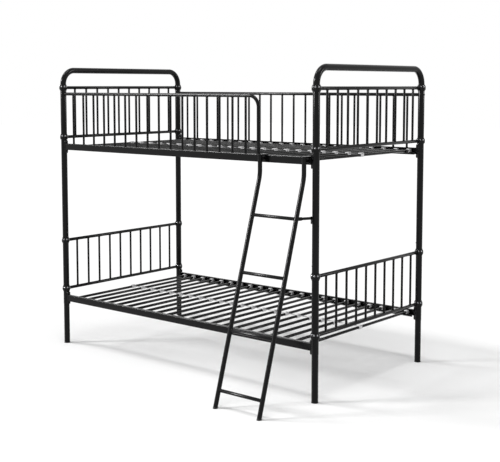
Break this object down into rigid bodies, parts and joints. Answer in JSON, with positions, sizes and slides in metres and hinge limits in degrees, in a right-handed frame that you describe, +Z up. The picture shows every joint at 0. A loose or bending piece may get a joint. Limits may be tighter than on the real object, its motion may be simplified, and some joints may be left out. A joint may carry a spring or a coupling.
{
  "type": "bunk bed with ladder",
  "caption": "Twin-over-twin tubular steel bunk bed with arched spindle ends, guard rails, metal slats and a hook-on slanted ladder.",
  "frame": {"origin": "on the floor, at the middle of the whole footprint with the ladder in place", "axes": "+X along the bed towards the ladder end, +Y from the ladder side to the wall side, +Z up"},
  "size_m": [1.979, 1.4465, 1.722],
  "materials": {
    "black_powder_coat": "satin black powder coat",
    "black_fastener": "black oxide with a light oil sheen",
    "grey_plastic": "moulded grey nylon, matte",
    "grey_webbing": "woven grey polyester webbing",
    "black_plastic": "moulded black plastic"
  },
  "bodies": {
    "bed": {"arch_left": "black_powder_coat", "arch_right": "black_powder_coat", "back_guard_spindles": "black_powder_coat", "back_guard_tube": "black_powder_coat", "brace_screw": "black_fastener", "foot_glides": "black_plastic", "frame_bolts": "black_fastener", "frame_nuts": "black_fastener", "front_guard_spindles": "black_powder_coat", "front_guard_tube": "black_powder_coat", "guard_bolts": "black_fastener", "guard_end_plugs": "black_powder_coat", "leg_back_left": "black_powder_coat", "leg_back_right": "black_powder_coat", "leg_front_left": "black_powder_coat", "leg_front_right": "black_powder_coat", "lower_back_side_rail": "black_powder_coat", "lower_collars": "black_powder_coat", "lower_front_side_rail": "black_powder_coat", "lower_left_bottom_rail": "black_powder_coat", "lower_left_spindles": "black_powder_coat", "lower_left_top_rail": "black_powder_coat", "lower_post_back_left": "black_powder_coat", "lower_post_back_right": "black_powder_coat", "lower_post_front_left": "black_powder_coat", "lower_post_front_right": "black_powder_coat", "lower_right_bottom_rail": "black_powder_coat", "lower_right_spindles": "black_powder_coat", "lower_right_top_rail": "black_powder_coat", "lower_slat_caps": "grey_plastic", "lower_slat_clips": "grey_plastic", "lower_slat_strap": "grey_webbing", "lower_slats": "black_powder_coat", "post_couplings": "black_powder_coat", "rail_saddles": "black_powder_coat", "upper_back_side_rail": "black_powder_coat", "upper_collars": "black_powder_coat", "upper_front_side_rail": "black_powder_coat", "upper_left_bottom_rail": "black_powder_coat", "upper_left_spindles": "black_powder_coat", "upper_left_top_rail": "black_powder_coat", "upper_post_back_left": "black_powder_coat", "upper_post_back_right": "black_powder_coat", "upper_post_front_left": "black_powder_coat", "upper_post_front_right": "black_powder_coat", "upper_right_bottom_rail": "black_powder_coat", "upper_right_spindles": "black_powder_coat", "upper_right_top_rail": "black_powder_coat", "upper_slat_caps": "grey_plastic", "upper_slat_clips": "grey_plastic", "upper_slat_strap": "grey_webbing", "upper_slats": "black_powder_coat"},
    "ladder": {"ladder_brace": "black_powder_coat", "ladder_feet": "black_plastic", "ladder_hooks": "black_powder_coat", "ladder_pads": "black_plastic", "ladder_rungs": "black_powder_coat", "ladder_stile_left": "black_powder_coat", "ladder_stile_right": "black_powder_coat"}
  },
  "joints": [
    {"name": "ladder_lift", "type": "slide", "parent": "bed", "child": "ladder", "axis": [0, 0, 1], "range_m": [0, 0.06]}
  ]
}
